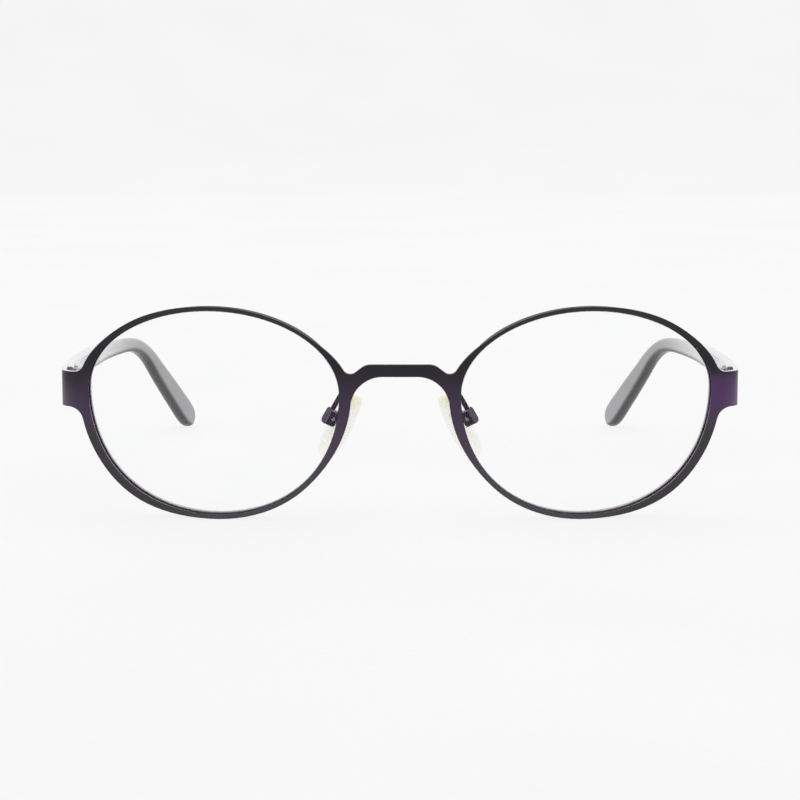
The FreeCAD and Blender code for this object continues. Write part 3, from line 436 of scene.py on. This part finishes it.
# the pad boxes and arms carry a painted lilac highlight on their upward faces
padMetal = plated("padMetal", colour(0.006, 0.005, 0.008), colour(0.030, 0.017, 0.042), 0.12, 0.12,
                  colour(0.50, 0.30, 0.64), 0.6)
padSteel = plated("padSteel", colour(0.13, 0.12, 0.14), colour(0.20, 0.19, 0.21), 0.2, 0.05)
screwSteel = plated("screwSteel", colour(0.46, 0.45, 0.47), colour(0.6, 0.59, 0.61), 0.18, 0.05)
dress(fittingMetal, *pair("closing_block_upper", "closing_block_lower", "hinge_front_leaf",
                          "hinge_temple_leaf"))
dress(padMetal, *pair("pad_box", "pad_arm"))
dress(screwSteel, *pair("closing_screw", "hinge_screw"))
dress(padSteel, *pair("pad_screw"))
print("fittings dressed")


# Nose pads: clear soft plastic that has yellowed, most at the rim and the upper end

pad = {
    "facing": (0.80, -0.42, 0.43),    # where the left pad's flat side points
    "agedLevels": (17.5, 24.5),       # mm above the table
    "agedWander": 4.0,
    "agedShare": 0.6,
    "rimShare": 0.4,
    "roughness": (0.3, 0.38),
    "ior": 1.42,
    "gloss": 0.3,
    "coverSpread": 0.45,
    "skinDepth": 0.0002,
}


def clearSoft(name, pale, aged, cover):
    paint = Paint(name, {"IOR": pad["ior"], "Specular IOR Level": pad["gloss"]})
    where = paint.millimetres()
    cloud = paint.noise(where, 0.25, 2.0)
    across = paint.along(where, "X")
    normal = paint.node("NewGeometry", out="Normal")
    flat = abs(paint.along(normal, "X") * (across / abs(across)) * pad["facing"][0]
               + paint.along(normal, "Y") * pad["facing"][1]
               + paint.along(normal, "Z") * pad["facing"][2])
    rim = paint.between(flat, 0.75, 0.3)
    height = paint.along(where, "Z") + (cloud - 0.5) * pad["agedWander"]
    age = paint.between(height, *pad["agedLevels"])
    yellow = age * pad["agedShare"] + rim * pad["rimShare"]
    skin = paint.noise(where, 1.0, 3.0)
    low, high = pad["roughness"]
    return paint.shows(
        BaseColor=paint.mix(yellow, pale, aged),
        Roughness=paint.between(skin, 0.3, 0.7, low, high),
        Alpha=paint.between(yellow, 0.0, 1.0, cover, cover + pad["coverSpread"]),
        Normal=paint.relief(skin, pad["skinDepth"]),
    )


dress(clearSoft("padClear", colour(0.97, 0.97, 0.90), colour(0.93, 0.89, 0.56), 0.12),
      *pair("nose_pad"))
dress(clearSoft("insertClear", colour(0.96, 0.95, 0.82), colour(0.93, 0.88, 0.54), 0.04),
      *pair("pad_insert"))
print("nose pads dressed")


# Floor that sweeps up into a backdrop

sweep = {"near": -1.6, "bend": 1.2, "radius": 0.9, "top": 2.4, "half": 2.2, "steps": 24,
         "tone": colour(0.08, 0.08, 0.08), "glow": 0.825}


def makeSweep():
    profile = [(sweep["near"], 0.0), (sweep["bend"], 0.0)]
    for step in range(1, sweep["steps"] + 1):
        turn = math.pi / 2 * step / sweep["steps"]
        profile.append((sweep["bend"] + sweep["radius"] * math.sin(turn),
                        sweep["radius"] * (1 - math.cos(turn))))
    profile.append((sweep["bend"] + sweep["radius"], sweep["top"]))
    corners = [(side * sweep["half"], depth, height)
               for depth, height in profile for side in (-1, 1)]
    faces = [(i, i + 1, i + 3, i + 2) for i in range(0, len(corners) - 2, 2)]
    mesh = bpy.data.meshes.new("backdrop")
    mesh.from_pydata(corners, [], faces)
    mesh.shade_smooth()
    backdrop = bpy.data.objects.new("backdrop", mesh)
    scene.collection.objects.link(backdrop)
    # the paper is lit from behind as well, which keeps the shadows faint
    paint = Paint("backdropPaper", {"Specular IOR Level": 0.1, "Emission Strength": sweep["glow"]})
    where = paint.millimetres()
    fibre = paint.noise(where, 0.6, 4.0)
    mottle = paint.between(paint.noise(where, 0.01, 2.0), 0.3, 0.7)
    pale = colour(*[part * 1.01 for part in sweep["tone"][:3]])
    paint.material.cycles.emission_sampling = "NONE"    # an even glow needs no light sampling
    mesh.materials.append(paint.shows(
        BaseColor=paint.mix(mottle, sweep["tone"], pale),
        Roughness=paint.between(fibre, 0.3, 0.7, 0.75, 0.9),
        EmissionColor=paint.mix(mottle, colour(0.985, 0.985, 0.985), colour(1, 1, 1)),
        Normal=paint.relief(fibre, 0.02),
    ))


makeSweep()


# Light: an even white room with a soft box above and one at each side

room = {"strength": 0.95, "tone": colour(1.0, 1.0, 1.0)}
softBoxes = [
    {"name": "topBox", "place": (0.0, 0.25, 1.3), "size": (1.6, 1.2), "power": 6.0},
    {"name": "leftBox", "place": (-1.3, -0.1, 0.5), "size": (0.9, 1.0), "power": 4.0},
    {"name": "rightBox", "place": (1.3, -0.1, 0.5), "size": (0.9, 1.0), "power": 4.0},
]
world = bpy.data.worlds.new("room")
world.use_nodes = True
background = world.node_tree.nodes["Background"]
background.inputs["Color"].default_value = room["tone"]
background.inputs["Strength"].default_value = room["strength"]
scene.world = world
for box in softBoxes:
    data = bpy.data.lights.new(box["name"], "AREA")
    data.shape = "RECTANGLE"
    data.size, data.size_y = box["size"]
    data.energy = box["power"]
    lamp = bpy.data.objects.new(box["name"], data)
    lamp.location = box["place"]
    lamp.rotation_euler = (Vector((0, 0, 0.02)) - lamp.location).to_track_quat("-Z", "Y").to_euler()
    scene.collection.objects.link(lamp)
print("lights placed")


# Camera, fitted to the photograph's view

view = {"distance": 500.0, "front": -70.7, "height": 84.9, "aim": 23.4, "focal": 2663.0,
        "frame": 800.0, "sensor": 36.0}
cameraData = bpy.data.cameras.new("camera")
cameraData.sensor_width = view["sensor"]
cameraData.lens = view["focal"] / view["frame"] * view["sensor"]
cameraData.clip_end = 20.0
camera = bpy.data.objects.new("camera", cameraData)
camera.location = Vector((0, view["front"] - view["distance"], view["height"])) * mm
target = Vector((0, view["front"], view["aim"])) * mm
camera.rotation_euler = (target - camera.location).to_track_quat("-Z", "Y").to_euler()
scene.collection.objects.link(camera)
scene.camera = camera
scene.view_settings.view_transform = "Standard"
print("camera placed")
